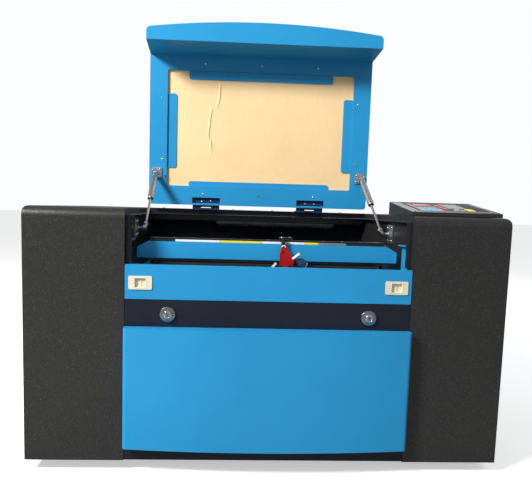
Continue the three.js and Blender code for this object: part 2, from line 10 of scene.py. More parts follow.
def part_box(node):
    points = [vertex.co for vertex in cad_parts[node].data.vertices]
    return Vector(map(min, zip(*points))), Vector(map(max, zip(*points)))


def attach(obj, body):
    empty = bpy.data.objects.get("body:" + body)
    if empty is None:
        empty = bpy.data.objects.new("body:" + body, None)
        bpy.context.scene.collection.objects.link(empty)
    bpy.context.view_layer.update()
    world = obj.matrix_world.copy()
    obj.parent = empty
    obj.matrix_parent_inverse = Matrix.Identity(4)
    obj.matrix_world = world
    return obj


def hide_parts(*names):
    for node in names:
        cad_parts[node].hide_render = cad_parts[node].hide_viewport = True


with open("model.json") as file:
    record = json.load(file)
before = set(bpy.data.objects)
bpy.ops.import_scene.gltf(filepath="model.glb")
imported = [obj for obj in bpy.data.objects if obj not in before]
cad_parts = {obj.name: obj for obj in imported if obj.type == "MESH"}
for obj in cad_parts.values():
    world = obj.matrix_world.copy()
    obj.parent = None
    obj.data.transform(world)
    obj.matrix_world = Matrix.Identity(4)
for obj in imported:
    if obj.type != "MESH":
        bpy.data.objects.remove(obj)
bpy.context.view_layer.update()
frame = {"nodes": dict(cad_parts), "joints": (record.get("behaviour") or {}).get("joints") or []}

MM = 0.001
SIDES = (("left", -1), ("right", 1))
FRONT, BACK, UP, DOWN = (0, -1, 0), (0, 1, 0), (0, 0, 1), (0, 0, -1)
LEFT, RIGHT = (-1, 0, 0), (1, 0, 0)

scene = bpy.context.scene
scene.view_settings.view_transform = "Standard"


# ---- node materials ------------------------------------------------------------------------
class Finish:
    """A Principled material with helpers that hang procedural detail on it."""

    def __init__(self, name, rough=0.5, metal=0.0, **sockets):
        self.mat = bpy.data.materials.new(name)
        self.mat.use_nodes = True
        self.tree = self.mat.node_tree
        self.bsdf = self.tree.nodes["Principled BSDF"]
        self.bsdf.inputs["Metallic"].default_value = metal
        self.bsdf.inputs["Roughness"].default_value = rough
        for key, value in sockets.items():
            self.bsdf.inputs[key.replace("_", " ")].default_value = value
        self.coords = self.node("TexCoord").outputs["Object"]
        self.relief = None  # Normal output of the last bump

    def node(self, kind, **values):
        made = self.tree.nodes.new("ShaderNode" + kind)
        for key, value in values.items():
            if key in made.inputs:
                made.inputs[key].default_value = value
            else:
                setattr(made, key, value)
        return made

    def link(self, source, target):
        self.tree.links.new(source, target)

    def stretch(self, sx, sy, sz):
        """Object coordinates scaled per axis, for grain that runs one way."""
        mapping = self.node("Mapping")
        mapping.inputs["Scale"].default_value = (sx, sy, sz)
        self.link(self.coords, mapping.inputs["Vector"])
        return mapping.outputs["Vector"]

    def noise(self, scale, detail=3.0, vector=None, rough=0.5):
        tex = self.node("TexNoise", Scale=scale, Detail=detail, Roughness=rough)
        self.link(vector or self.coords, tex.inputs["Vector"])
        return tex.outputs["Fac"]

    def span(self, source, low, high, start=0.3, stop=0.7):
        """Maps a 0-1 pattern between start and stop onto low..high."""
        remap = self.node("MapRange")
        for key, value in (("From Min", start), ("From Max", stop), ("To Min", low), ("To Max", high)):
            remap.inputs[key].default_value = value
        self.link(source, remap.inputs["Value"])
        return remap.outputs["Result"]

    def blend(self, mask, colour_a, colour_b):
        mix = self.node("Mix", data_type="RGBA")
        for socket, colour in (("A", colour_a), ("B", colour_b)):
            target = next(i for i in mix.inputs if i.name == socket and i.type == "RGBA")
            if hasattr(colour, "is_linked"):
                self.link(colour, target)
            else:
                target.default_value = (*colour, 1)
        self.link(mask, next(i for i in mix.inputs if i.name == "Factor" and i.type == "VALUE"))
        return next(o for o in mix.outputs if o.type == "RGBA")

    def colour(self, source):
        self.link(source, self.bsdf.inputs["Base Color"])

    def mottle(self, colour, scale=5.0, low=0.88, high=1.1, vector=None, detail=4.0):
        dark = tuple(c * low for c in colour)
        light = tuple(min(1.0, c * high) for c in colour)
        return self.blend(self.span(self.noise(scale, detail, vector), 0, 1), dark, light)

    def roughen(self, low, high, scale=9.0, vector=None):
        self.link(self.span(self.noise(scale, 3, vector), low, high), self.bsdf.inputs["Roughness"])

    def bump(self, source, depth, strength=1.0):
        """Adds a height pattern, depth in metres, over any bump already there."""
        made = self.node("Bump", Strength=strength, Distance=depth)
        self.link(source, made.inputs["Height"])
        if self.relief:
            self.link(self.relief, made.inputs["Normal"])
        self.relief = made.outputs["Normal"]
        self.link(self.relief, self.bsdf.inputs["Normal"])


def powder_coat(name, colour, rough, peel, grain, tone=0.12, glint_fleck_share=None, gloss=0.3):
    """Powder coat: slow colour drift, orange peel and a finer grain, with rare paler flecks that are painted
    glints of light.
    """
    f = Finish(name, rough=rough, Specular_IOR_Level=gloss)
    base = f.mottle(colour, 3.5, 1 - tone, 1 + tone)
    if glint_fleck_share:
        # painted glints: pale flecks that stand in for light catching the coat's texture
        painted_glints = f.span(f.noise(820, 1), 0, glint_fleck_share, 0.66, 0.74)
        base = f.blend(painted_glints, base, (0.42, 0.42, 0.44))
    dust = f.span(f.noise(46, 6, rough=0.7), 0, 0.02, 0.56, 0.8)
    f.colour(f.blend(dust, base, (0.3, 0.3, 0.29)))
    f.roughen(rough - 0.03, rough + 0.05, 60)
    f.bump(f.noise(230, 2), peel)
    f.bump(f.noise(950, 1), grain)
    return f.mat


def bare_metal(name, colour, rough, along=(1, 1, 1), scratch=2.0e-5):
    """Drawn or plated metal: grain along one axis, faint blotches, light scratches."""
    f = Finish(name, rough=rough, metal=1.0, Anisotropic=0.35)
    grain = f.stretch(*along)
    f.colour(f.mottle(colour, 30, 0.86, 1.08, grain))
    f.roughen(rough - 0.07, rough + 0.1, 40, grain)
    f.bump(f.noise(900, 2, grain), scratch)
    return f.mat


def moulded(name, colour, rough, grain=3.0e-5, tone=0.06, **sockets):
    """Moulded plastic or rubber: nearly even colour with a fine spark-eroded grain."""
    f = Finish(name, rough=rough, **sockets)
    f.colour(f.mottle(colour, 14, 1 - tone, 1 + tone))
    f.roughen(rough - 0.05, rough + 0.06, 25)
    f.bump(f.noise(1300, 2), grain)
    return f.mat


def masked_sheet():
    """Acrylic still in its kraft masking paper: fibres, blotches and slight cockling."""
    f = Finish("masked_acrylic", rough=0.72, Specular_IOR_Level=0.3)
    fibres = f.noise(260, 4, f.stretch(1, 1, 0.12), 0.7)
    blotch = f.mottle((0.93, 0.675, 0.375), 9, 0.95, 1.04, detail=6)
    f.colour(f.blend(f.span(fibres, 0, 0.22, 0.45, 0.75), blotch, (0.68, 0.47, 0.25)))
    f.roughen(0.62, 0.8, 18)
    f.bump(f.noise(7, 3), 6.0e-4)
    f.bump(fibres, 4.0e-5)
    return f.mat


def clear_glass(name, tint, rough=0.03):
    f = Finish(name, rough=rough, Transmission_Weight=0.92, IOR=1.47)
    f.colour(f.mottle(tint, 12, 0.97, 1.02))
    f.roughen(0.015, 0.06, 8)
    return f.mat


def anodised(name, colour, rough=0.34):
    f = Finish(name, rough=rough, metal=0.55)
    f.colour(f.mottle(colour, 60, 0.9, 1.12))
    f.roughen(rough - 0.06, rough + 0.08, 90)
    f.bump(f.noise(1500, 2), 2.0e-5)
    return f.mat


MATS = {
    # the black coat alone takes painted glints, its 0.3 share of pale flecks
    "black": powder_coat("black_powdercoat", (0.019, 0.0187, 0.0183), 0.33, 1.1e-4, 1.7e-4, 0.05, 0.3, 0.5),
    "band": powder_coat("band_powdercoat", (0.011, 0.013, 0.024), 0.36, 3.0e-5, 1.0e-5),
    "frame": powder_coat("frame_powdercoat", (0.014, 0.015, 0.022), 0.24, 2.0e-5, 8.0e-6, gloss=0.6),
    "inner": powder_coat("inner_powdercoat", (0.006, 0.007, 0.012), 0.5, 4.0e-5, 2.0e-5, gloss=0.15),
    "blue": powder_coat("blue_powdercoat", (0.02, 0.29, 0.60), 0.36, 2.5e-5, 8.0e-6, 0.06),
    "steel": bare_metal("steel_polished", (0.62, 0.63, 0.65), 0.20, (0.1, 1, 1)),
    "chrome": bare_metal("chrome", (0.74, 0.76, 0.79), 0.12, scratch=4.0e-6),
    "locks": bare_metal("lock_steel", (0.34, 0.35, 0.37), 0.28, scratch=1.0e-5),
    "zinc": bare_metal("zinc_steel", (0.56, 0.57, 0.58), 0.34, (1, 1, 0.4)),
    "dark": bare_metal("black_steel", (0.055, 0.057, 0.063), 0.46, (1, 0.3, 1)),
    "alu": bare_metal("aluminium", (0.60, 0.61, 0.62), 0.36, (0.15, 1, 1)),
    "strut": bare_metal("strut_grey", (0.55, 0.55, 0.55), 0.35, (1, 0.2, 0.2)),
    # lid hinge leaves: dark paint, with painted blue bounce light from the lid mixed into the colour
    "leaf_blue_bounce": powder_coat("hinge_paint_blue_bounce", (0.01, 0.035, 0.12), 0.4, 2.5e-5, 8.0e-6),
    "panel": moulded("panel_face", (0.012, 0.012, 0.014), 0.55, 2.0e-5, Specular_IOR_Level=0.2),
    "red": anodised("red_anodised", (0.56, 0.012, 0.016)),
    "navy": anodised("navy_anodised", (0.03, 0.07, 0.16)),
    "rubber": moulded("foot_rubber", (0.014, 0.014, 0.014), 0.82, 9.0e-5, 0.15),
    "cream": moulded("cream_plastic", (0.74, 0.70, 0.55), 0.42, 2.0e-5),
    "white": moulded("white_plastic", (0.80, 0.80, 0.78), 0.45, 2.0e-5),
    "yellow": moulded("yellow_plastic", (0.78, 0.68, 0.05), 0.45, 2.0e-5),
    "grey": moulded("grey_plastic", (0.34, 0.34, 0.33), 0.5, 3.0e-5),
    "cyan": moulded("cyan_plastic", (0.05, 0.38, 0.62), 0.4, 1.0e-5),
    "plastic": moulded("black_plastic", (0.016, 0.016, 0.018), 0.48, 4.0e-5),
    "gloss": moulded("panel_gloss", (0.010, 0.011, 0.016), 0.12, 2.0e-6,
                     Coat_Weight=0.8, Coat_Roughness=0.05),
    "board": moulded("circuit_board", (0.012, 0.11, 0.05), 0.4, 2.0e-5),
    "paper": masked_sheet(),
    "glass": clear_glass("tube_glass", (0.86, 0.94, 0.93)),
}

# Which finish each CAD node takes, by the start of its name; the first match counts.
NODE_FINISH = (
    ("foot_", "rubber"), ("left_housing", "black"), ("right_housing", "black"), ("front_panel", "band"),
    ("rear_panel", "black"), ("rear_cover", "band"), ("seat_frame", "frame"), ("base_pan", "inner"),
    ("bay_back", "inner"), ("led_bar", "dark"), ("hinge_lid_", "leaf_blue_bounce"), ("hinge_", "dark"),
    ("lid_shell", "blue"), ("window_pane", "paper"), ("strut_tube", "strut"), ("strut_rod", "steel"),
    ("lid_bracket", "zinc"), ("strut_bracket", "zinc"), ("flap_panel", "blue"), ("latch_", "cream"),
    ("lower_door", "blue"), ("cam_lock", "locks"), ("gantry_beam", "blue"), ("x_rail", "dark"),
    ("x_belt_guard", "dark"), ("mirror_", "dark"), ("x_motor", "plastic"), ("head_carriage", "dark"),
    ("head_plate", "red"), ("laser_nozzle", "dark"), ("y_rail", "blue"), ("y_drive_shaft", "steel"),
    ("y_motor", "plastic"), ("bed_frame", "inner"), ("honeycomb", "alu"), ("lift_base", "zinc"),
    ("laser_tube", "glass"), ("tube_shelf", "zinc"), ("fan_housing", "plastic"), ("fan_rotor", "plastic"),
    ("laser_supply", "alu"), ("controller", "board"), ("power_inlet", "plastic"),
    ("control_housing", "black"), ("control_face", "panel"),
)
FINE_EDGES = (
    "latch_", "cam_lock", "hinge_", "strut_", "head_", "control_face", "x_rail", "y_rail", "power_inlet",
)
SOFT_EDGE, FINE_EDGE = 0.9 * MM, 0.35 * MM
SHARP_ANGLE = 38        # degrees; edges past this are rounded, or stay hard
FLAT_ANGLE = 0.6        # degrees; facets closer than this to one plane are merged
WELD_REACH = 0.01 * MM
UNMERGED = "lid_shell"  # merged faces would close over its window


# ---- surface modifiers ---------------------------------------------------------------------
def smooth_by_angle(limit):
    """Geometry nodes that shade smooth, but keep edges sharper than the limit hard."""
    tree = bpy.data.node_groups.new(f"smooth_{limit}", "GeometryNodeTree")
    tree.interface.new_socket("Geometry", in_out="INPUT", socket_type="NodeSocketGeometry")
    tree.interface.new_socket("Geometry", in_out="OUTPUT", socket_type="NodeSocketGeometry")
    source, sink = tree.nodes.new("NodeGroupInput"), tree.nodes.new("NodeGroupOutput")
    angle = tree.nodes.new("GeometryNodeInputMeshEdgeAngle")
    over = tree.nodes.new("FunctionNodeCompare")
    over.operation = "GREATER_THAN"
    over.inputs[1].default_value = math.radians(limit)
    faces = tree.nodes.new("GeometryNodeSetShadeSmooth")
    edges = tree.nodes.new("GeometryNodeSetShadeSmooth")
    edges.domain = "EDGE"
    edges.inputs["Shade Smooth"].default_value = False
    links = tree.links
    links.new(angle.outputs["Unsigned Angle"], over.inputs[0])
    links.new(source.outputs[0], faces.inputs["Geometry"])
    links.new(faces.outputs[0], edges.inputs["Geometry"])
    links.new(over.outputs[0], edges.inputs["Selection"])
    links.new(edges.outputs[0], sink.inputs[0])
    return tree


SMOOTH = smooth_by_angle(SHARP_ANGLE)


def soften(obj, width, merge=True):
    """Rounded edges and clean shading, all in modifiers, so the mesh itself stays as it is."""
    weld = obj.modifiers.new("weld", "WELD")
    weld.merge_threshold = WELD_REACH
    if width and merge:
        flat = obj.modifiers.new("flatten", "DECIMATE")
        flat.decimate_type = "DISSOLVE"
        flat.angle_limit = math.radians(FLAT_ANGLE)
    if width:
        bevel = obj.modifiers.new("edges", "BEVEL")
        bevel.width, bevel.segments = width, 2
        bevel.limit_method, bevel.angle_limit = "ANGLE", math.radians(SHARP_ANGLE)
        bevel.miter_outer = "MITER_ARC"
    shade = obj.modifiers.new("shade", "NODES")
    shade.node_group = SMOOTH
    weight = obj.modifiers.new("normals", "WEIGHTED_NORMAL")
    weight.keep_sharp = True


for node, cad in frame["nodes"].items():
    key = next(finish for start, finish in NODE_FINISH if node.startswith(start))
    cad.data.materials.clear()
    cad.data.materials.append(MATS[key])
    soften(cad, FINE_EDGE if node.startswith(FINE_EDGES) else SOFT_EDGE, merge=node != UNMERGED)


# ---- mesh helpers --------------------------------------------------------------------------
def at(node, fx, fy, fz, dx=0.0, dy=0.0, dz=0.0):
    """Point in a node's box: fractions from its lowest corner, then an offset in millimetres."""
    lo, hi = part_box(node)
    place = [lo[i] + f * (hi[i] - lo[i]) for i, f in enumerate((fx, fy, fz))]
    return Vector(place) + Vector((dx, dy, dz)) * MM


def facing(origin, out):
    """Frame whose Z points along out; seen from outside, X runs right and Y up."""
    z = Vector(out).normalized()
    up = Vector(UP if abs(z.z) < 0.9 else BACK)
    x = up.cross(z).normalized()
    frame_axes = Matrix((x, z.cross(x), z)).transposed().to_4x4()
    frame_axes.translation = origin
    return frame_axes


def turned(bm, place, profile, n=24):
    """Turned body about the frame's Z. Profile: (radius, height) in mm, axis to axis or closed."""
    closed = profile[0] == profile[-1]
    rings = []
    for r, h in profile[:-1] if closed else profile:
        if r == 0:
            rings.append([bm.verts.new(place @ Vector((0, 0, h * MM)))])
            continue
        spots = [(math.cos(2 * math.pi * k / n), math.sin(2 * math.pi * k / n)) for k in range(n)]
        rings.append([bm.verts.new(place @ Vector((r * c * MM, r * s * MM, h * MM))) for c, s in spots])
    if closed:
        rings.append(rings[0])
    for a, b in zip(rings, rings[1:]):
        for k in range(n):
            quad = [a[k % len(a)], a[(k + 1) % len(a)], b[(k + 1) % len(b)], b[k % len(b)]]
            corners = list(dict.fromkeys(quad))
            if len(corners) > 2:
                bm.faces.new(corners)


def slab(bm, place, outline, low, high, shrink=0.0):
    """Outline in mm, extruded from low to high along the frame's Z; shrink draws the top inwards."""
    cu = sum(u for u, v in outline) / len(outline)
    cv = sum(v for u, v in outline) / len(outline)
    top = [(cu + (u - cu) * (1 - shrink), cv + (v - cv) * (1 - shrink)) for u, v in outline]
    a = [bm.verts.new(place @ Vector((u * MM, v * MM, low * MM))) for u, v in outline]
    b = [bm.verts.new(place @ Vector((u * MM, v * MM, high * MM))) for u, v in top]
    bm.faces.new(a[::-1])
    bm.faces.new(b)
    for k in range(len(a)):
        j = (k + 1) % len(a)
        bm.faces.new((a[k], a[j], b[j], b[k]))


def plate(width, height, radius=0.0, cu=0.0, cv=0.0, n=4):
    """Outline of a rectangle with rounded corners, centred on (cu, cv)."""
    w, h = width / 2, height / 2
    if not radius:
        return [(cu - w, cv - h), (cu + w, cv - h), (cu + w, cv + h), (cu - w, cv + h)]
    points = []
    for sx, sy, start in ((1, -1, -90), (1, 1, 0), (-1, 1, 90), (-1, -1, 180)):
        for k in range(n + 1):
            t = math.radians(start + 90 * k / n)
            points.append((cu + sx * (w - radius) + radius * math.cos(t),
                           cv + sy * (h - radius) + radius * math.sin(t)))
    return points


def loft(bm, rings):
    """Joins rings of vertices, each to the next and the last to the first."""
    for a, b in zip(rings, rings[1:] + rings[:1]):
        for k in range(len(a)):
            j = (k + 1) % len(a)
            bm.faces.new((a[k], a[j], b[j], b[k]))


def polygon(radius, n, turn=0.0):
    return [(radius * math.cos(math.radians(turn + 360 * k / n)),
             radius * math.sin(math.radians(turn + 360 * k / n))) for k in range(n)]


def pipe(bm, points, radius, n=12, loop=False):
    """Round bar along a smooth run of points (metres), radius in mm; loop joins its ends."""
    points = [Vector(p) for p in points]
    count = len(points)
    side = None
    rings = []
    for k, p in enumerate(points):
        before = points[(k - 1) % count] if loop or k else p
        after = points[(k + 1) % count] if loop or k < count - 1 else p
        along = (after - before).normalized()
        if side is None:
            side = along.orthogonal().normalized()
        side = (side - along * side.dot(along)).normalized()
        other = along.cross(side)
        turns = [2 * math.pi * j / n for j in range(n)]
        rings.append([bm.verts.new(p + (side * math.cos(t) + other * math.sin(t)) * radius * MM)
                      for t in turns])
    pairs = list(zip(rings, rings[1:])) + ([(rings[-1], rings[0])] if loop else [])
    for a, b in pairs:
        for j in range(n):
            i = (j + 1) % n
            bm.faces.new((a[j], a[i], b[i], b[j]))
    if not loop:
        bm.faces.new(rings[0][::-1])
        bm.faces.new(rings[-1])


def circle(centre, radius, out, n=32, start=0, sweep=360):
    """Points on an arc in the plane whose normal is out; radius in mm."""
    place = facing(centre, out)
    count = n if sweep == 360 else n + 1
    angles = [math.radians(start + sweep * k / n) for k in range(count)]
    return [place @ Vector((radius * math.cos(t) * MM, radius * math.sin(t) * MM, 0)) for t in angles]


def screw(bm, origin, out, radius=3.0, height=1.8):
    """Button-head screw with a socket."""
    r, h = radius, height
    turned(bm, facing(origin, out), [
        (0, 0.45 * h), (0.42 * r, 0.45 * h), (0.46 * r, 0.96 * h), (0.7 * r, 0.9 * h), (0.92 * r, 0.55 * h),
        (r, 0.15 * h), (r, -0.4), (0, -0.4)], 18)


def rivet(bm, origin, out, radius=2.6, height=1.1):
    r, h = radius, height
    turned(bm, facing(origin, out), [
        (0, h), (0.45 * r, 0.92 * h), (0.8 * r, 0.6 * h), (r, 0.1 * h), (r, -0.3), (0, -0.3)], 16)


def piece(name, bm, finish, body, edge=0.0, replaces=()):
    """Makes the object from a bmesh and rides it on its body."""
    bmesh.ops.recalc_face_normals(bm, faces=bm.faces)
    mesh = bpy.data.meshes.new(name)
    bm.to_mesh(mesh)
    bm.free()
    obj = bpy.data.objects.new(name, mesh)
    scene.collection.objects.link(obj)
    mesh.materials.append(MATS[finish])
    soften(obj, edge * MM)
    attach(obj, body)
    if replaces:
        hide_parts(*replaces)


# ---- camera, floor and light ----------------------------------------------------------------
FLOOR_REACH = 40000                         # mm, far enough to meet the horizon
FLOOR_LIT, FLOOR_SEEN = (0.34,) * 3, (0.9,) * 3     # floor colour for light, and for the camera
FLOOR_GLOW = 0.5                            # emission that only the camera sees
SKY_LIT, SKY_SEEN = 0.38, 1.0               # sky strength for light, and for the camera
LAMP_AIM = Vector((0, 0, 0.45))
LAMPS = (                                   # name, place in m, width in m, power in W, tint
    ("key", (-2.2, -1.85, 2.4), 0.8, 170, (1.0, 0.985, 0.95)),
    ("back", (0.8, 3.0, 2.6), 2.4, 30, (0.97, 0.98, 1.0)),
)


def camera():
    data = bpy.data.cameras.new("camera")
    data.lens, data.sensor_width, data.sensor_fit = 40.21, 36, "HORIZONTAL"
    data.shift_x, data.shift_y = 0.0422, 0.0616
    obj = bpy.data.objects.new("camera", data)
    obj.location = (-0.1175, -1.5200, 0.5564)
    obj.rotation_euler = [math.radians(a) for a in (83.636, -1.617, -2.798)]
    scene.collection.objects.link(obj)
    scene.camera = obj


def studio():
    """Pale floor that runs to the horizon, a broad key lamp up on the left and a soft fill from behind.

    The camera sees floor and sky as near white, while both light the part less than that.
    """
    bm = bmesh.new()
    turned(bm, Matrix.Identity(4), [(0, 0), (2000, 0), (6000, 0), (FLOOR_REACH, 0)], 64)
    mesh = bpy.data.meshes.new("studio_floor")
    bm.to_mesh(mesh)
    bm.free()
    floor = bpy.data.objects.new("studio_floor", mesh)
    scene.collection.objects.link(floor)
    f = Finish("studio_floor", rough=0.9, Specular_IOR_Level=0.05)
    seen = f.node("LightPath").outputs["Is Camera Ray"]
    f.colour(f.blend(seen, FLOOR_LIT, FLOOR_SEEN))
    glow = f.node("Math", operation="MULTIPLY")
    glow.inputs[1].default_value = FLOOR_GLOW
    f.link(seen, glow.inputs[0])
    f.bsdf.inputs["Emission Color"].default_value = (1, 1, 1, 1)
    f.link(glow.outputs[0], f.bsdf.inputs["Emission Strength"])
    mesh.materials.append(f.mat)

    world = bpy.data.worlds.new("studio_sky")
    world.use_nodes = True
    tree = world.node_tree
    sky = tree.nodes["Background"]
    sky.inputs["Color"].default_value = (0.97, 0.985, 1.0, 1)
    ray = tree.nodes.new("ShaderNodeLightPath")
    level = tree.nodes.new("ShaderNodeMapRange")
    level.inputs["To Min"].default_value = SKY_LIT
    level.inputs["To Max"].default_value = SKY_SEEN
    tree.links.new(ray.outputs["Is Camera Ray"], level.inputs["Value"])
    tree.links.new(level.outputs["Result"], sky.inputs["Strength"])
    scene.world = world

    for name, place, size, power, tint in LAMPS:
        data = bpy.data.lights.new(name, "AREA")
        data.shape, data.size, data.energy, data.color = "DISK", size, power, tint
        lamp = bpy.data.objects.new(name, data)
        lamp.location = place
        lamp.rotation_euler = (LAMP_AIM - Vector(place)).to_track_quat("-Z", "Y").to_euler()
        scene.collection.objects.link(lamp)


camera()
studio()


# ---- lid: rivets, hinge screws and the masked window ----------------------------------------
def lid_hardware():
    under = 13.0  # the frame's underside is this far in front of the lid's skin
    bm = bmesh.new()
    for x, z in ((-148, 367), (0, 367), (148, 367), (-259, 277), (259, 277), (-259, 120), (259, 120),
                 (-148, 29), (0, 30), (148, 29)):
        rivet(bm, at("lid_shell", 0.5, 1, 0, x, -under, z), FRONT)
    piece("lid_rivets", bm, "chrome", "lid")
    bm = bmesh.new()
    for x in (-191, -95, -11, 95, 191):
        rivet(bm, at("lid_shell", 0.5, 1, 0, x, -under, 11.5), FRONT, 1.7, 0.25)
    for side, _ in SIDES:
        for x in (-11, 12):
            screw(bm, at(f"hinge_lid_{side}", 0.5, 0, 1, x, 0, -9), FRONT, 3.2, 1.9)
        for x in (-24, 0, 24):
            screw(bm, at(f"hinge_lid_{side}", 0.5, 0, 1, x, 0, -18), FRONT, 1.4, 0.6)
    piece("lid_screws", bm, "chrome", "lid")
    bm = bmesh.new()
    for side, s in SIDES:
        for dz in (-9, 9):
            screw(bm, at(f"lid_bracket_{side}", 0.5, 1, 0.5, -s * 7, -2.3, dz), FRONT, 3.0, 1.8)
    piece("lid_bracket_screws", bm, "chrome", "lid")


def masked_window():
    """The window sheet in its masking paper, with the soft double crease left of its middle."""
    lo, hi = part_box("window_pane")
    levels, coarse, fine = 110, 120, 50     # steps up the sheet, along it, and along its creased strip
    strip = (-140, -70)                     # mm
    crease_rise, crease_width, crease_fade = 2.2, 1.8, 20
    swell_rise, cockle_rise, swell_fade = 0.35, 0.25, 40
    columns = [lo.x + (hi.x - lo.x) * i / coarse for i in range(coarse + 1)]
    columns = [x for x in columns if not strip[0] * MM < x < strip[1] * MM]
    columns += [(strip[0] + (strip[1] - strip[0]) / fine * i) * MM for i in range(fine + 1)]
    columns.sort()
    creases = (                             # x and height of each crease's points, in mm
        ((-109, 886), (-109, 866), (-110, 843), (-117, 812)),
        ((-129, 825), (-135, 772), (-138, 744), (-130, 725), (-128, 693)),
    )

    def ridge(x, z):
        rise = 0.0
        for line in creases:
            for (xa, za), (xb, zb) in zip(line, line[1:]):
                if zb <= z <= za:
                    t = (za - z) / (za - zb)
                    ease = t * t * (3 - 2 * t)
                    off = x - (xa + (xb - xa) * ease)
                    ends = min(1, (line[0][1] - z) / crease_fade, (z - line[-1][1]) / crease_fade)
                    rise = max(rise, ends * math.exp(-(off / crease_width) ** 2))
        return rise

    def swell(x, z):
        edge = min(x + 230, 230 - x, z - 625, 895 - z) / swell_fade
        cockle = math.sin(x / 61 + 1.2) * math.sin(z / 47) + 0.5 * math.sin(x / 23 + z / 31)
        return max(0.0, min(1.0, edge)) * (swell_rise + cockle_rise * cockle)

    bm = bmesh.new()
    rows = []
    for j in range(levels + 1):
        z = lo.z + (hi.z - lo.z) * j / levels
        row = []
        for x in columns:
            push = crease_rise * ridge(x / MM, z / MM) + swell(x / MM, z / MM)
            row.append(bm.verts.new((x, lo.y - push * MM, z)))
        rows.append(row)
    for lower, upper in zip(rows, rows[1:]):
        for i in range(len(columns) - 1):
            bm.faces.new((lower[i], lower[i + 1], upper[i + 1], upper[i]))
    rim = rows[0] + [r[-1] for r in rows[1:]] + rows[-1][-2::-1] + [r[0] for r in rows[-2:0:-1]]
    back = [bm.verts.new((v.co.x, hi.y, v.co.z)) for v in rim]
    for k in range(len(rim)):
        j = (k + 1) % len(rim)
        bm.faces.new((rim[j], rim[k], back[k], back[j]))
    bm.faces.new(back)
    piece("window_sheet", bm, "paper", "lid", replaces=("window_pane",))


# ---- gas struts ------------------------------------------------------------------------------
def struts():
    joints = {j["child"]: j for j in frame["joints"]}
    for side, s in SIDES:
        inner, outer = (0, 1) if s > 0 else (1, 0)
        tube, rod = f"strut_tube_{side[0]}", f"strut_rod_{side[0]}"
        top = Vector(joints[tube]["pos_m"])
        place = facing(top, joints[rod]["axis"])
        bm = bmesh.new()
        turned(bm, place, [(0, 9.5), (5.6, 9.5), (6.4, 10.4), (6.4, 12.4), (5.2, 13.4), (0, 13.4)], 24)
        turned(bm, place, [(7.55, 22), (7.9, 22.5), (7.9, 24), (7.55, 24.5), (7.55, 22)], 24)
        turned(bm, place, [(7.4, 119), (7.85, 120), (7.85, 122), (7.4, 123), (7.4, 119)], 24)
        piece(f"strut_rings_{side}", bm, "zinc", tube, 0.15)
        bm = bmesh.new()
        turned(bm, place, [(3.25, 131.6), (5.4, 131.6), (5.4, 132.2), (5.0, 132.45), (3.25, 132.45),
                           (3.25, 131.6)], 24)
        piece(f"strut_seal_{side}", bm, "rubber", tube, 0.1)
        pins = at(f"strut_bracket_{side}", 0.5, 0.5, 0.5) - top
        reach = math.hypot(pins.y, pins.z) / MM
        bm = bmesh.new()
        slab(bm, place, polygon(6.2, 6), reach - 17.5, reach - 12.5)
        piece(f"strut_nut_{side}", bm, "chrome", rod, 0.3)
        for body, node in (("lid", f"lid_bracket_{side}"), ("cabinet", f"strut_bracket_{side}")):
            end = at(node, inner, 0.5, 0.5)
            if body == "lid":
                end.y = top.y
            bm = bmesh.new()
            turned(bm, facing(end, (-s, 0, 0)), [
                (0, 1.0), (2.2, 0.8), (3.4, 0.1), (3.4, -1.2), (0, -1.2)], 20)
            piece(f"stud_cap_{body}_{side}", bm, "chrome", body)
        bm = bmesh.new()
        wall = at(f"strut_bracket_{side}", outer, 0.5, 0.5)
        for dy, dz in ((-13, 15), (13, 15), (-13, -15), (13, -15)):
            screw(bm, wall + Vector((-s * 2.4, dy, dz)) * MM, (-s, 0, 0), 3.2, 2.0)
        slab(bm, facing(wall + Vector((-s * 2.3, 0, 0)) * MM, (-s, 0, 0)), polygon(9.5, 6, 30), 0, 4.2)
        piece(f"strut_bracket_bolts_{side}", bm, "chrome", "cabinet", 0.3)


# ---- flap latches, door locks ----------------------------------------------------------------
def front_hardware():
    for side, s in SIDES:
        inner, outer = (0, 1) if s > 0 else (1, 0)
        bm = bmesh.new()
        thumb = at(f"latch_slider_{side}", inner, 0, 0.5, s * 17, 1.6)
        slab(bm, facing(thumb, FRONT), plate(30, 18.6, 1.2), 0.02, 0.32)
        piece(f"latch_grip_{side}", bm, "cream", f"latch_{side[0]}", 0.1)
        bm = bmesh.new()
        wide, narrow = plate(25.5, 21.5, 1.6), plate(22.4, 18.6, 1.0)
        place = facing(at(f"latch_bezel_{side}", 0.5, 0, 0.5), FRONT)
        loft(bm, [[bm.verts.new(place @ (Vector((u, v, h)) * MM)) for u, v in ring]
                  for ring, h in ((wide, -0.1), (wide, 0.35), (narrow, 0.35), (narrow, -1.6))])
        piece(f"latch_rim_{side}", bm, "cream", "flap", 0.1)
        lock, rides = f"cam_lock_{side}", f"cam_{side[0]}"
        place = facing(at(lock, outer, 0, 0.5, -s * 16.5), FRONT)
        bm = bmesh.new()
        turned(bm, place, [(5.2, -1.2), (5.2, 0.5), (5.6, 0.9), (7.0, 0.7), (7.9, -0.2), (7.9, -1.2),
                           (5.2, -1.2)], 32)
        turned(bm, place, [(12.2, -5.0), (12.6, -4.1), (13.4, -4.1), (13.8, -5.0), (12.2, -5.0)], 40)
        piece(f"lock_rings_{side}", bm, "chrome", rides, 0.15)
        bm = bmesh.new()
        turned(bm, place, [(0, -0.3), (4.4, -0.3), (4.6, -0.6), (4.6, -1.6), (0, -1.6)], 28)
        piece(f"lock_core_{side}", bm, "chrome", rides, 0.1)
        bm = bmesh.new()
        slab(bm, place, plate(5.4, 1.7, 0.4), -1.0, 0.05)
        piece(f"lock_keyway_{side}", bm, "plastic", rides)


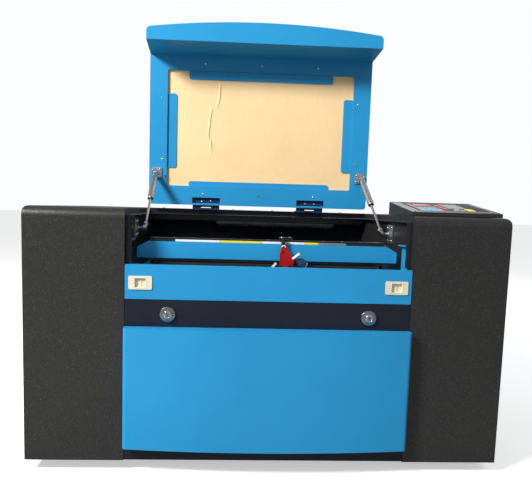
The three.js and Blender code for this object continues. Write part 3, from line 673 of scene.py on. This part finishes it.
# ---- gantry: belts, head fittings and the scale on the beam -----------------------------------
def belt(bm, path, width_axis, width, thick=1.1, tooth=0.9, pitch=5.0):
    """Toothed belt along a closed path of metre points, teeth inwards, width along width_axis."""
    width_axis = Vector(width_axis)
    count = len(path)
    middle = sum((Vector(p) for p in path), Vector()) / count
    half = width_axis * width * MM / 2
    inner, outer = [], []
    for k, p in enumerate(path):
        p = Vector(p)
        along = (Vector(path[(k + 1) % count]) - Vector(path[k - 1])).normalized()
        normal = along.cross(width_axis)
        if normal.dot(p - middle) < 0:
            normal = -normal
        inner.append([bm.verts.new(p - half), bm.verts.new(p + half)])
        p += normal * thick * MM
        outer.append([bm.verts.new(p - half), bm.verts.new(p + half)])
    for k in range(count):
        j = (k + 1) % count
        bm.faces.new((inner[k][0], inner[j][0], inner[j][1], inner[k][1]))
        bm.faces.new((outer[k][0], outer[j][0], outer[j][1], outer[k][1]))
        bm.faces.new((inner[k][0], inner[j][0], outer[j][0], outer[k][0]))
        bm.faces.new((inner[k][1], inner[j][1], outer[j][1], outer[k][1]))
    for k in range(count):
        a, b = Vector(path[k]), Vector(path[(k + 1) % count])
        length = (b - a).length / MM
        if length < 3 * pitch:
            continue
        along = (b - a).normalized()
        normal = along.cross(width_axis)
        if normal.dot((a + b) / 2 - middle) > 0:
            normal = -normal
        frame_axes = Matrix((along, width_axis, normal)).transposed().to_4x4()
        for m in range(int(length / pitch)):
            frame_axes.translation = a + along * (m + 0.5) * pitch * MM
            slab(bm, frame_axes, plate(pitch * 0.5, width), -0.1, tooth, 0.25)


def stadium(a, b, radius, out, n=12):
    """Closed belt path round two pulleys of one radius (mm) whose axes point along out."""
    along = (b - a).normalized()
    side = Vector(out).cross(along)
    points = []
    for centre, start in ((b, 90), (a, 270)):
        for k in range(n + 1):
            t = math.radians(start - 180 * k / n)
            points.append(centre + (along * math.cos(t) + side * math.sin(t)) * radius * MM)
    return points


def gantry_details():
    guard_lo, guard_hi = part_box("x_belt_guard")
    y = guard_lo.y + 6.5 * MM
    z = guard_hi.z - 9.7 * MM
    ends = [Vector((x, y, z)) for x in (guard_lo.x + 37 * MM, guard_hi.x - 37 * MM)]
    bm = bmesh.new()
    belt(bm, stadium(*ends, 3.6, UP), UP, 5.6, 1.0, 0.8)
    piece("x_belt", bm, "rubber", "gantry")
    bm = bmesh.new()
    for end in ends:
        turned(bm, facing(end, UP), [(0, 3.3), (5.2, 3.3), (5.2, 2.9), (3.0, 2.9), (3.0, -2.9), (5.2, -2.9),
                                     (5.2, -3.3), (0, -3.3)], 20)
    piece("x_belt_pulleys", bm, "alu", "gantry", 0.1)

    rail_lo, rail_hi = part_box("x_rail")
    for name, finish, slot, runs in (
        ("scale_white", "white", "cream_plastic", ((-198.5, -104.4), (-13.1, 78.1))),
        ("scale_yellow", "yellow", "cream_plastic", ((-104.0, -13.5), (78.5, 108.0))),
        ("scale_grey", "alu", "aluminium", ((108.4, 168.0),)),
    ):
        bm = bmesh.new()
        for x0, x1 in runs:
            centre = Vector(((x0 + x1) / 2 * MM, rail_lo.y, rail_lo.z + 2.4 * MM))
            slab(bm, facing(centre, FRONT), plate(x1 - x0, 4.4, 0.4), 0, 0.2)
        piece(name, bm, finish, "gantry", 0.05)

    bm = bmesh.new()
    for x in range(-240, 241, 40):
        turned(bm, facing(Vector((x * MM, (rail_lo.y + rail_hi.y) / 2, rail_hi.z)), UP), [
            (0, 0.12), (1.4, 0.12), (1.6, 0.5), (2.6, 0.4), (2.8, -0.4), (0, -0.4)], 16)
    piece("x_rail_screws", bm, "chrome", "gantry")

    bm = bmesh.new()
    for dx in (5, 37):
        for dz in (5, 37):
            screw(bm, at("x_motor", 0, 1, 0, dx, -2.0, dz), BACK, 2.2, 1.4)
    piece("x_motor_screws", bm, "chrome", "gantry")

    bm = bmesh.new()
    place = facing(at("mirror_two", 0, 0, 0.5, 13, 14), (1, -1, 0))
    turned(bm, place, [(0, 5.2), (9, 5.2), (10, 4.2), (10, 0), (0, 0)], 28)
    piece("mirror_two_lens", bm, "chrome", "gantry", 0.2)


def head_details():
    middle = at("head_plate", 0, 0, 0, 15)

    def spot(dx, z, dy=0.0):
        """Point dx right of the plate's middle, z above the floor and dy behind its face, in mm."""
        return Vector((middle.x + dx * MM, middle.y + dy * MM, z * MM))

    bm = bmesh.new()
    pipe(bm, [spot(13, 452, 2), spot(17, 455, 0), spot(21, 458.2, -1), spot(26, 462.4, -2)], 3.1, 16)
    pipe(bm, [spot(25.4, 461.8, -1.9), spot(27, 463.2, -2.2)], 3.9, 16)
    piece("air_nipple", bm, "white", "head", 0.2)

    nozzle_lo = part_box("laser_nozzle")[0]
    knob = Vector((middle.x + 29 * MM, nozzle_lo.y, 445 * MM))
    bm = bmesh.new()
    ridges = 36
    knurl = [(r * math.cos(2 * math.pi * k / ridges), r * math.sin(2 * math.pi * k / ridges))
             for k, r in enumerate((8.1, 8.7) * (ridges // 2))]
    slab(bm, facing(knob, FRONT), knurl, -3, 3.2, 0.06)
    turned(bm, facing(knob, FRONT), [(0, 4.4), (4.2, 4.4), (4.8, 3.6), (4.8, 2), (0, 2)], 28)
    piece("focus_knob", bm, "navy", "head", 0.25)

    bm = bmesh.new()
    pipe(bm, circle(knob + Vector((0, 2.0 * MM, 0)), 11.2, FRONT, 14, -80, 88), 1.5, 12)
    piece("air_line", bm, "white", "head")

    bm = bmesh.new()
    slab(bm, facing(spot(-22, 433.5, 6), FRONT), plate(15, 8.5, 0.8), -6, 2)
    piece("x_limit_switch", bm, "plastic", "head", 0.3)
    bm = bmesh.new()
    tilt = facing(spot(-26.5, 437, 3), FRONT) @ Matrix.Rotation(math.radians(48), 4, "Z")
    slab(bm, tilt, plate(15, 4.6, 1.6), 0.2, 2.2)
    piece("x_limit_lever", bm, "white", "head", 0.25)

    bm = bmesh.new()
    pipe(bm, circle(spot(-7, 475.4, 1), 4.2, FRONT, 14, 10, 160), 1.2, 10)
    piece("head_cable_clip", bm, "white", "head")

    bm = bmesh.new()
    for dx in (5, 23):
        for dy in (20, 34):
            screw(bm, at("head_carriage", 0, 0, 1, dx, dy), UP, 2.2, 1.0)
    piece("carriage_screws", bm, "chrome", "head")

    bm = bmesh.new()
    place = facing(Vector((middle.x + 20 * MM, nozzle_lo.y + 9 * MM, nozzle_lo.z)), UP)
    for h in (27.5, 31.5):
        turned(bm, place, [(10.3, h), (11.0, h + 0.5), (11.0, h + 1.7), (10.3, h + 2.2), (10.3, h)], 32)
    for h in (40, 44, 48, 52):
        turned(bm, place, [(8.9, h), (9.4, h + 0.4), (9.4, h + 1.4), (8.9, h + 1.8), (8.9, h)], 32)
    piece("nozzle_rings", bm, "steel", "head", 0.1)


def y_drive():
    axle = at("y_drive_shaft", 0, 0.5, 0.5)
    rail_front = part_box("y_rail_left")[0].y
    guard_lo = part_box("x_belt_guard")[0]
    bolts, idlers, clamps = bmesh.new(), bmesh.new(), bmesh.new()
    for side, s in SIDES:
        rear = Vector((s * 250 * MM, axle.y, axle.z))
        front = Vector((rear.x, rail_front + 16 * MM, rear.z))
        bm = bmesh.new()
        belt(bm, stadium(front, rear, 9.3, RIGHT), RIGHT, 6.0)
        piece(f"y_belt_{side}", bm, "rubber", "cabinet")
        turned(idlers, facing(front, RIGHT), [
            (0, 4.8), (11, 4.8), (11, 3.8), (9.1, 3.8), (9.1, -3.8), (11, -3.8), (11, -4.8), (0, -4.8)], 28)
        pipe(idlers, [front - Vector((s * 6 * MM, 0, 0)), front + Vector((s * 16 * MM, 0, 0))], 3.0, 16)
        cheek = front + Vector((s * 13.5, 0, 7)) * MM
        slab(idlers, facing(cheek, (s, 0, 0)), plate(18, 22, 3), -1.5, 1.5)
        clamp = Vector((s * 254 * MM, guard_lo.y + 16 * MM, guard_lo.z))
        slab(clamps, facing(clamp, DOWN), plate(8, 18, 1), 0.1, 16.0)
        for y in (60, 160, 260, 360):
            place = Vector((s * 270 * MM, rail_front + y * MM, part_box(f"y_rail_{side}")[0].z + 12 * MM))
            turned(bolts, facing(place, UP), [
                (0, 0.12), (1.6, 0.12), (1.8, 0.45), (2.8, 0.35), (3.0, -0.4), (0, -0.4)], 16)
    piece("y_idlers", idlers, "alu", "cabinet", 0.2)
    piece("y_belt_clamps", clamps, "alu", "gantry", 0.3)
    piece("y_rail_screws", bolts, "chrome", "cabinet")
    bm = bmesh.new()
    for dy in (8.4, 33.6):
        for up in (0.15, 0.85):
            screw(bm, at("y_motor", 1, 0, up, 0, dy), RIGHT, 2.2, 1.4)
    piece("y_motor_screws", bm, "chrome", "cabinet")


# ---- bed ---------------------------------------------------------------------------------------
def honeycomb_bed():
    """Corrugated foil cells that stand for the plain comb block."""
    lo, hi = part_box("honeycomb")
    pitch, foil, margin = 15.0 * MM, 0.35 * MM, 4 * MM
    rise = pitch * math.sqrt(3) / 2
    bm = bmesh.new()
    rows = int((hi.y - lo.y - 2 * margin) / rise)
    cols = int((hi.x - lo.x - 2 * margin) / pitch)
    left = (lo.x + hi.x) / 2 - (cols - 0.5) * pitch / 2
    front = (lo.y + hi.y) / 2 - (rows - 1) * rise / 2
    low, high = lo.z + 1 * MM, hi.z - 0.6 * MM
    arm = pitch / math.sqrt(3)
    turns = [math.radians(60 * k) for k in range(6)]

    def wall(a, b):
        along = (b - a).normalized()
        side = Vector((-along.y, along.x, 0)) * foil / 2
        ring = [a - side, b - side, b + side, a + side]
        bottom = [bm.verts.new((p.x, p.y, low)) for p in ring]
        top = [bm.verts.new((p.x, p.y, high)) for p in ring]
        bm.faces.new(top)
        bm.faces.new(bottom[::-1])
        for k in range(4):
            j = (k + 1) % 4
            bm.faces.new((bottom[k], bottom[j], top[j], top[k]))

    for row in range(rows):
        for col in range(cols):
            centre = Vector((left + (col + 0.5 * (row % 2)) * pitch, front + row * rise, 0))
            corners = [centre + Vector((math.sin(t), math.cos(t), 0)) * arm for t in turns]
            outermost = row == 0 or col in (0, cols - 1)
            for k in range(6) if outermost else (5, 0, 1):
                wall(corners[k], corners[(k + 1) % 6])
    for x0, x1, y0, y1 in (
        (lo.x, lo.x + margin, lo.y, hi.y),
        (hi.x - margin, hi.x, lo.y, hi.y),
        (lo.x + margin, hi.x - margin, lo.y, lo.y + margin),
        (lo.x + margin, hi.x - margin, hi.y - margin, hi.y),
    ):
        centre = Vector(((x0 + x1) / 2, (y0 + y1) / 2, 0))
        slab(bm, facing(centre, UP), plate((x1 - x0) / MM, (y1 - y0) / MM), lo.z / MM, hi.z / MM)
    piece("honeycomb_cells", bm, "alu", "bed", replaces=("honeycomb",))


def bed_details():
    bm = bmesh.new()
    lo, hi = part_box("bed_frame")
    for x in (-266, 266):
        for y in (lo.y + 12 * MM, hi.y - 13 * MM):
            spot = Vector((x * MM, y, lo.z + 14 * MM))
            for low, high, r, bore, n in ((0, 1.2, 9.4, 5.5, 28), (1.2, 6.5, 8.6, 6.3, 6)):
                outline, hole = polygon(r, n), polygon(bore, n)
                loft(bm, [[bm.verts.new(spot + Vector((u, v, h)) * MM) for u, v in ring]
                          for ring, h in ((outline, low), (outline, high), (hole, high), (hole, low))])
    piece("lift_nuts", bm, "zinc", "bed", 0.2)
    bm = bmesh.new()
    for x in range(-210, 211, 70):
        screw(bm, Vector((x * MM, lo.y, lo.z + 13 * MM)), FRONT, 2.6, 1.5)
        screw(bm, Vector((x * MM, hi.y, lo.z + 13 * MM)), BACK, 2.6, 1.5)
    piece("bed_frame_screws", bm, "dark", "bed")


# ---- tube compartment and electrics ---------------------------------------------------------------
def tube_details():
    lo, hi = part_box("laser_tube")
    place = facing(at("laser_tube", 0, 0.5, 0.5), RIGHT)
    length = (hi.x - lo.x) / MM
    bm = bmesh.new()
    turned(bm, place, [(3.0, 30), (4.6, 30), (4.6, length - 30), (3.0, length - 30), (3.0, 30)], 20)
    turned(bm, place, [(10.5, 60), (11.5, 60), (11.5, length - 60), (10.5, length - 60), (10.5, 60)], 24)
    piece("tube_bore", bm, "white", "cabinet")
    bm = bmesh.new()
    for start, flip in ((0, 1), (length, -1)):
        turned(bm, place, [(0, start), (11.4, start), (12.6, start + flip * 1.2), (12.6, start + flip * 9),
                           (11.4, start + flip * 10), (0, start + flip * 10)], 28)
    piece("tube_electrodes", bm, "steel", "cabinet", 0.2)
    bm = bmesh.new()
    for fraction in (0.15, 0.83):
        ring = at("laser_tube", fraction, 0.5, 0.5)
        turned(bm, facing(ring, RIGHT), [(25.2, -8), (27.2, -8), (27.2, 8), (25.2, 8), (25.2, -8)], 36)
    piece("tube_straps", bm, "rubber", "cabinet", 0.2)
    bm = bmesh.new()
    place = facing(at("mirror_one", 0.5, 0.5, 1, 0, 0, -17), (1, -1, 0))
    turned(bm, place, [(0, 4.2), (9, 4.2), (10, 3.2), (10, 0.5), (0, 0.5)], 28)
    piece("mirror_one_lens", bm, "chrome", "cabinet", 0.2)


def electrics():
    bm = bmesh.new()
    for k in range(9):
        spot = at("laser_supply", 0, 0, 0.5, -0.1, 40 + 20 * k)
        slab(bm, facing(spot, LEFT), plate(10, 56, 4), -0.3, 0.35)
    piece("supply_vents", bm, "plastic", "cabinet")
    bm = bmesh.new()
    for k in range(8):
        spot = at("laser_supply", 0, 0, 0, 18 + 13.4 * k, 0, 24)
        slab(bm, facing(spot, FRONT), plate(10.5, 18, 1), -0.2, 3.2)
        screw(bm, spot + Vector((0, -3.2, 0)) * MM, FRONT, 3.0, 1.2)
    piece("supply_terminals", bm, "dark", "cabinet", 0.2)
    bm = bmesh.new()
    for j in range(3):
        for k in range(4):
            spot = at("controller", 1, 0, 0, -8.0, 34 + 34 * k, 60 + 22 * j)
            slab(bm, facing(spot, RIGHT), plate(16 + 6 * (k % 2), 12, 1), -0.3, 2.6)
    piece("controller_chips", bm, "plastic", "cabinet", 0.2)


# ---- control panel ----------------------------------------------------------------------------------
def control_panel():
    lo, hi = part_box("control_face")
    sheet = 4 * MM  # the face's own thickness
    tilt = math.atan2(hi.z - lo.z - sheet, hi.y - lo.y)
    top_front = Vector(((lo.x + hi.x) / 2, lo.y, lo.z + sheet))
    place = Matrix.Translation(top_front) @ Matrix.Rotation(tilt, 4, "X")
    width, depth = (hi.x - lo.x) / MM, (hi.y - lo.y) / MM

    def keys(name, finish, boxes, height=0.7, radius=1.6):
        """Raised blocks; each box is its left edge, its front edge, width and depth."""
        bm = bmesh.new()
        for u, v, w, h in boxes:
            slab(bm, place, plate(w, h, radius, u - width / 2 + w / 2, v + h / 2), -0.2, height, 0.03)
        piece(name, bm, finish, "cabinet", 0.25)

    keys("panel_display", "gloss", [(13, 8, 50, 112)], 0.4, 2.5)
    keys("panel_title_bar", "red", [(21, 82, 38, 30)], 0.8)
    keys("panel_red_keys", "red", [(67, 26 + 27 * k, 11, 21) for k in range(3)], 0.8)
    keys("panel_icons", "cyan",
         [(16 + 11.5 * i, 14 + 21 * j, 9.5, 17) for i in range(4) for j in range(2)], 0.8)
    keys("panel_keypad", "grey",
         [(86 + 14 * i, 46 + 19 * j, 11.5, 15) for i in range(3) for j in range(4)])
    keys("panel_arrow_keys", "grey", [(86, 14, 11, 11), (100, 14, 11, 11), (93, 28, 11, 11)])
    keys("panel_start_key", "yellow", [(116, 10, 15, 28)], 1.1)
    bm = bmesh.new()
    for u in (-width / 2 - 7, width / 2 + 7):
        for v in (-7, depth + 6):
            turned(bm, place @ Matrix.Translation(Vector((u, v, -1.0)) * MM), [
                (0, 0.5), (1.3, 0.5), (1.5, 1.0), (2.4, 0.7), (2.7, -0.4), (0, -0.4)], 18)
    piece("panel_screws", bm, "dark", "cabinet")
    bm = bmesh.new()
    outer = plate(width + 3, depth + 3, 3, 0, depth / 2)
    inner = plate(width - 1.2, depth - 1.2, 2, 0, depth / 2)
    loft(bm, [[bm.verts.new(place @ (Vector((u, v, h)) * MM)) for u, v in ring]
              for ring, h in ((outer, -1.1), (outer, 0.2), (inner, 0.6), (inner, -0.3))])
    piece("panel_trim", bm, "grey", "cabinet", 0.2)


# ---- rear: fan guard, inlet and screws ------------------------------------------------------------
def rear_details():
    centre = at("fan_housing", 0.5, 1, 0.5, 0, -3.5)
    bm = bmesh.new()
    for r in (12, 24, 36, 48, 60, 70):
        pipe(bm, circle(centre, r, BACK, 48), 1.1, 8, loop=True)
    for deg in (45, 135, 225, 315):
        ends = [circle(centre, r, BACK, 1, deg, 1)[0] for r in (11, 71.2)]
        pipe(bm, [end + Vector((0, -1.6, 0)) * MM for end in ends], 1.3, 8)
    piece("fan_guard", bm, "chrome", "cabinet")

    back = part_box("rear_panel")[1].y
    bm = bmesh.new()
    edge = [(x, z) for x in (-480, -290, 0, 290, 480) for z in (40, 536)]
    edge.remove((0, 40))
    for x, z in edge + [(x, z) for x in (-480, 480) for z in (200, 370)]:
        screw(bm, Vector((x * MM, back, z * MM)), BACK, 3.4, 1.8)
    for x in (-84, 84):
        for dz in (-84, 84):
            screw(bm, Vector((x * MM, back, centre.z + dz * MM)), BACK, 3.2, 2.0)
    piece("rear_screws", bm, "dark", "cabinet")

    bm = bmesh.new()
    for dx, dz in ((0, 26), (-6.5, 19), (6.5, 19)):
        slab(bm, facing(at("power_inlet", 0.5, 1, 0, dx, -16, dz), BACK), plate(2.2, 6.0), -1, 12)
    piece("inlet_pins", bm, "steel", "cabinet", 0.2)
    bm = bmesh.new()
    for dz, tip in ((44, 2.6), (56, 0.9)):
        slab(bm, facing(at("power_inlet", 0.5, 1, 0, 0, 0, dz), BACK), plate(26, 12, 1.2), -0.4, tip, 0.08)
    piece("inlet_rocker", bm, "red", "cabinet", 0.3)
    bm = bmesh.new()
    for up, dz in ((0, 8), (1, -2.5)):
        for dx in (-20, 20):
            screw(bm, at("power_inlet", 0.5, 1, up, dx, 0, dz), BACK, 2.0, 1.1)
    piece("inlet_screws", bm, "chrome", "cabinet")


def cabinet_screws():
    bm = bmesh.new()
    for side, _ in SIDES:
        for x in (-26, 0, 26):
            screw(bm, at(f"hinge_deck_{side}", 0.5, 1, 0.5, x, -12, 2.4), UP, 3.0, 1.4)
    piece("deck_hinge_screws", bm, "dark", "cabinet")
    bm = bmesh.new()
    cover_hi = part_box("rear_cover")[1]
    for x in (-270, -60, 60, 270):
        screw(bm, Vector((x * MM, cover_hi.y - 14 * MM, cover_hi.z)), UP, 3.2, 1.5)
    piece("rear_cover_screws", bm, "dark", "cabinet")
    bm = bmesh.new()
    for end in ("front", "rear"):
        for side, _ in SIDES:
            place = facing(at(f"foot_{end}_{side}", 0.5, 0.5, 0), UP)
            for h in (7, 11, 15):
                r = 19 - 3 * (h - 3) / 20.7  # the foot's own taper
                turned(bm, place, [(r - 0.4, h - 1), (r + 0.5, h - 0.5), (r + 0.5, h + 0.5), (r - 0.4, h + 1),
                                   (r - 0.4, h - 1)], 28)
    piece("foot_ribs", bm, "rubber", "cabinet", 0.2)
    bm = bmesh.new()
    lo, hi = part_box("led_bar")
    chips, end_gap = 26, 10
    run = (hi.x - lo.x) / MM - 2 * end_gap
    for k in range(chips):
        spot = at("led_bar", 0, 0.5, 0, end_gap + run * k / (chips - 1))
        slab(bm, facing(spot, DOWN), plate(4, 3, 0.5), -0.1, 0.5, 0.1)
    piece("led_chips", bm, "yellow", "cabinet", 0.1)


lid_hardware()
masked_window()
struts()
front_hardware()
gantry_details()
head_details()
y_drive()
honeycomb_bed()
bed_details()
tube_details()
electrics()
control_panel()
rear_details()
cabinet_screws()
